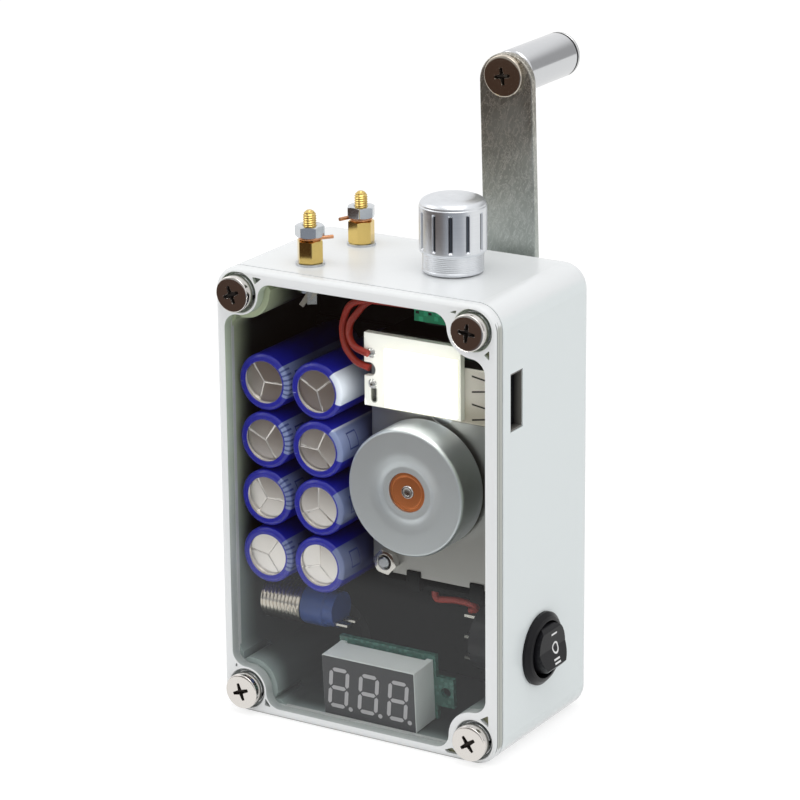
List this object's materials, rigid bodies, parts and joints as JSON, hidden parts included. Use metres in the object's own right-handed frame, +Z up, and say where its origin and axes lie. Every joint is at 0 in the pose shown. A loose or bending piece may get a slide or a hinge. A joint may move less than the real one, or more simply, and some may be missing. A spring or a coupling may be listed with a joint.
{
  "type": "hand crank generator",
  "caption": "Pocket hand crank generator: white box with a clear lid over capacitors, geared generator, light panel and voltmeter; knob, posts, rocker, button and USB socket outside.",
  "frame": {"origin": "middle of the box's bottom face, which the box stands on", "axes": "+X towards the USB socket and the rocker switch, -Y out of the clear lid, +Y out of the back where the crank is, +Z up"},
  "size_m": [0.0777, 0.0698, 0.1418],
  "materials": {
    "case_plastic": "glossy moulded",
    "gasket_rubber": "soft",
    "clear_plastic": "clear polished",
    "nickel_steel": "bright nickel plated",
    "zinc_steel": "dull zinc plated",
    "scratched_steel": "scratched plate",
    "turned_aluminium": "satin turned",
    "brass": "bright",
    "bronze": "sintered",
    "copper": "bare copper",
    "black_plastic": "glossy",
    "dark_board": "matt",
    "housing_plastic": "matt",
    "green_board": "solder mask",
    "white_board": "white solder mask",
    "light_emitter": "lit phosphor",
    "blue_sleeve": "shrink film",
    "can_aluminium": "scored",
    "magnet": "ground",
    "iron_core": "laminated",
    "copper_winding": "enamelled",
    "gear_resin": "acetal",
    "meter_grey": "satin",
    "meter_glass": "dark filter",
    "red_wire": "insulated",
    "blue_plastic": "moulded",
    "tinned_steel": "tinned"
  },
  "bodies": {
    "case": {"enclosure_body": "case_plastic", "lid_gasket": "gasket_rubber", "lid_frame": "case_plastic", "clear_lid": "clear_plastic", "lid_screws": "nickel_steel", "lid_washers": "zinc_steel", "backing_plate": "dark_board", "gear_housing": "housing_plastic", "gearbox_plates": "zinc_steel", "gearbox_screws": "zinc_steel", "gearbox_nuts": "zinc_steel", "crank_bushing": "bronze", "bearing_tube": "bronze", "stator_core": "iron_core", "stator_coils": "copper_winding", "potentiometer": "dark_board", "panel_nuts": "nickel_steel", "dimmer_board": "green_board", "post_washers": "zinc_steel", "post_standoffs": "brass", "post_studs": "brass", "post_nuts": "zinc_steel", "post_wire_loops": "copper", "post_solder_lugs": "tinned_steel", "switch_housing": "black_plastic", "solder_terminals": "tinned_steel", "usb_shell": "tinned_steel", "usb_tongue": "black_plastic", "converter_board": "green_board", "button_barrel": "nickel_steel", "button_base": "blue_plastic", "led_board": "white_board", "led_emitter": "light_emitter", "capacitor_cans": "can_aluminium", "capacitor_sleeves": "blue_sleeve", "capacitor_board": "dark_board", "meter_case": "meter_grey", "meter_window": "meter_glass", "meter_board": "green_board", "hook_up_wires": "red_wire"},
    "crank": {"crank_shaft": "zinc_steel", "crank_gear": "gear_resin", "crank_arm": "scratched_steel", "crank_nut": "zinc_steel", "handle_screw": "nickel_steel", "handle_spacer": "bronze", "handle_end_cap": "nickel_steel"},
    "handle": {"handle_grip": "nickel_steel"},
    "idler_one": {"idler_one_gear": "gear_resin"},
    "idler_two": {"idler_two_pinion": "zinc_steel", "idler_two_wheel": "brass"},
    "rotor": {"rotor_bell": "zinc_steel", "rotor_hub": "copper", "rotor_magnets": "magnet", "rotor_shaft": "zinc_steel", "rotor_pinion": "brass"},
    "knob": {"control_knob": "turned_aluminium", "knob_shaft": "turned_aluminium"},
    "rocker": {"switch_rocker": "black_plastic"},
    "button": {"button_plunger": "nickel_steel"}
  },
  "joints": [
    {"name": "crank_spin", "type": "hinge", "parent": "case", "child": "crank", "pos_m": [0.0132, 0, 0.07143], "axis": [0, 1, 0], "continuous": true},
    {"name": "handle_spin", "type": "hinge", "parent": "crank", "child": "handle", "pos_m": [0.0116, 0.035, 0.13691], "axis": [0, 1, 0], "continuous": true},
    {"name": "idler_one_spin", "type": "hinge", "parent": "case", "child": "idler_one", "pos_m": [0.0175, 0, 0.05436], "axis": [0, 1, 0], "continuous": true},
    {"name": "idler_two_spin", "type": "hinge", "parent": "case", "child": "idler_two", "pos_m": [0.00623, 0, 0.0454], "axis": [0, 1, 0], "continuous": true},
    {"name": "rotor_spin", "type": "hinge", "parent": "case", "child": "rotor", "pos_m": [0.0096, 0, 0.05534], "axis": [0, 1, 0], "continuous": true},
    {"name": "knob_turn", "type": "hinge", "parent": "case", "child": "knob", "pos_m": [0.0122, 0, 0.1], "axis": [0, 0, 1], "range_deg": [-150, 150]},
    {"name": "rocker_tilt", "type": "hinge", "parent": "case", "child": "rocker", "pos_m": [0.0334, -0.0013, 0.0207], "axis": [0, 1, 0], "range_deg": [0, 18]},
    {"name": "button_press", "type": "slide", "parent": "case", "child": "button", "axis": [1, 0, 0], "range_m": [0, 0.0015], "stiffness_N_per_m": 600, "springref_m": -0.001}
  ],
  "couplings": [
    {"joint": "idler_one_spin", "follows": "crank_spin", "ratio": -2.6667},
    {"joint": "idler_two_spin", "follows": "crank_spin", "ratio": 8},
    {"joint": "rotor_spin", "follows": "crank_spin", "ratio": -20}
  ]
}
